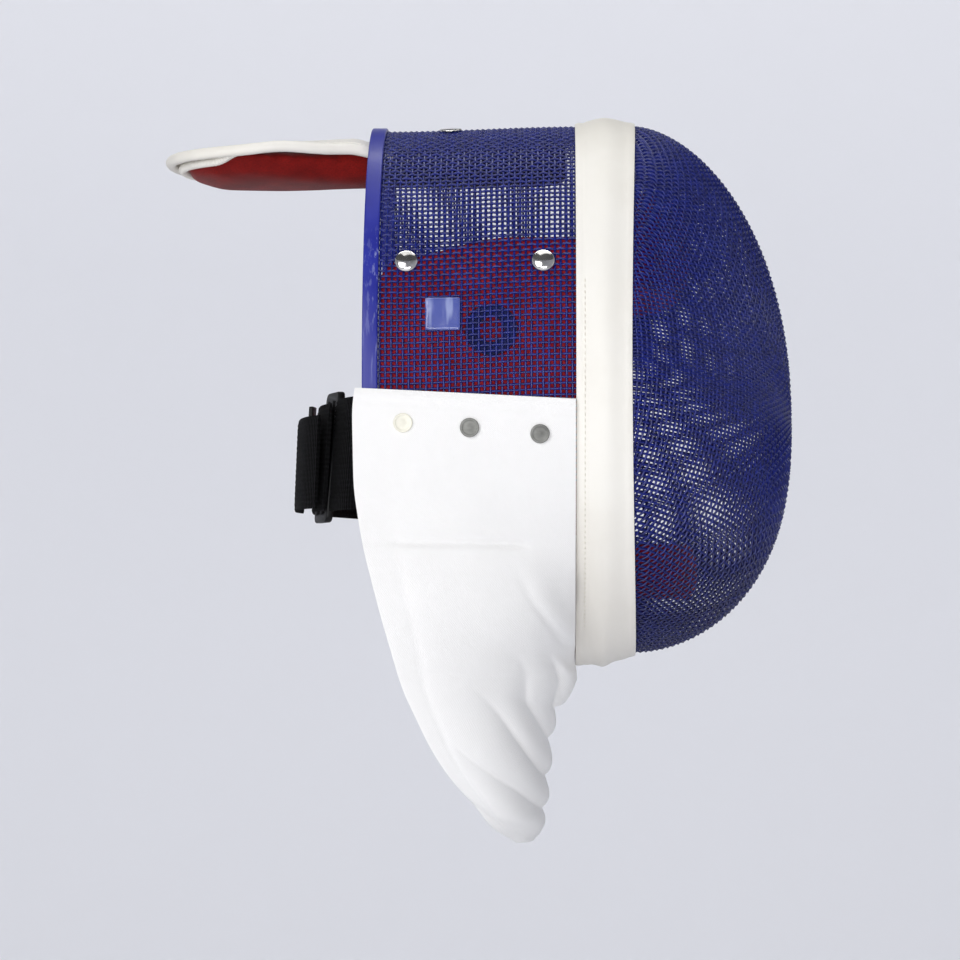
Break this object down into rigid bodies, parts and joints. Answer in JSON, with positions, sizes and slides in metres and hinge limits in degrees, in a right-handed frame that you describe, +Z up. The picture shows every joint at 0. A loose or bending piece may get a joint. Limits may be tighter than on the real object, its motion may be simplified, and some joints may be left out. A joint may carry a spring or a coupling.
{
  "type": "fencing mask",
  "caption": "Fencing mask: woven wire dome and sides under a cream joint strip, padded lining, sprung tongue, back strap and pleated white bib.",
  "frame": {"origin": "the head seat: the middle of the underside of the crown padding, where the top of the wearer's head rests", "axes": "+X out through the face mesh, +Y to the wearer's left, +Z up as worn"},
  "size_m": [0.3525, 0.2264, 0.4096],
  "materials": {
    "blue_wire": "woven steel wire with a gloss blue coat",
    "cream_vinyl": "soft cream vinyl, slightly glossy, stitched",
    "blue_binding": "glossy blue PVC edge binding with worn light streaks",
    "white_cloth": "matt white padded cloth, fine weave",
    "red_felt": "red brushed lining cloth over foam",
    "navy_felt": "navy brushed cloth",
    "chrome": "polished domed rivet",
    "grey_snap": "dull grey metal snap cap",
    "cream_plastic": "cream plastic snap cap",
    "blue_tag": "blank glossy light blue plate",
    "black_webbing": "black elastic webbing",
    "black_plastic": "black moulded plastic"
  },
  "bodies": {
    "root": {"front_mesh": "blue_wire", "side_mesh": "blue_wire", "band": "cream_vinyl", "rear_rim": "blue_binding", "bib": "white_cloth", "side_pad_right": "red_felt", "ear_ring_right": "navy_felt", "side_pad_left": "red_felt", "ear_ring_left": "navy_felt", "forehead_pad": "red_felt", "chin_pad": "red_felt", "tongue_cover": "cream_vinyl", "tongue_piping": "cream_vinyl", "tongue_pad": "red_felt", "mesh_rivet_right_1": "chrome", "mesh_rivet_right_2": "chrome", "tongue_rivet_right": "chrome", "mesh_rivet_left_1": "chrome", "mesh_rivet_left_2": "chrome", "tongue_rivet_left": "chrome", "seal_plate": "blue_tag", "bib_snap_right_1": "cream_plastic", "bib_snap_right_2": "grey_snap", "bib_snap_right_3": "grey_snap", "bib_snap_left_1": "cream_plastic", "bib_snap_left_2": "grey_snap", "bib_snap_left_3": "grey_snap", "strap_anchor": "black_webbing", "strap_round": "black_webbing", "strap_fold": "black_webbing", "strap_tab": "black_plastic", "strap_slide": "black_plastic"}
  },
  "joints": []
}
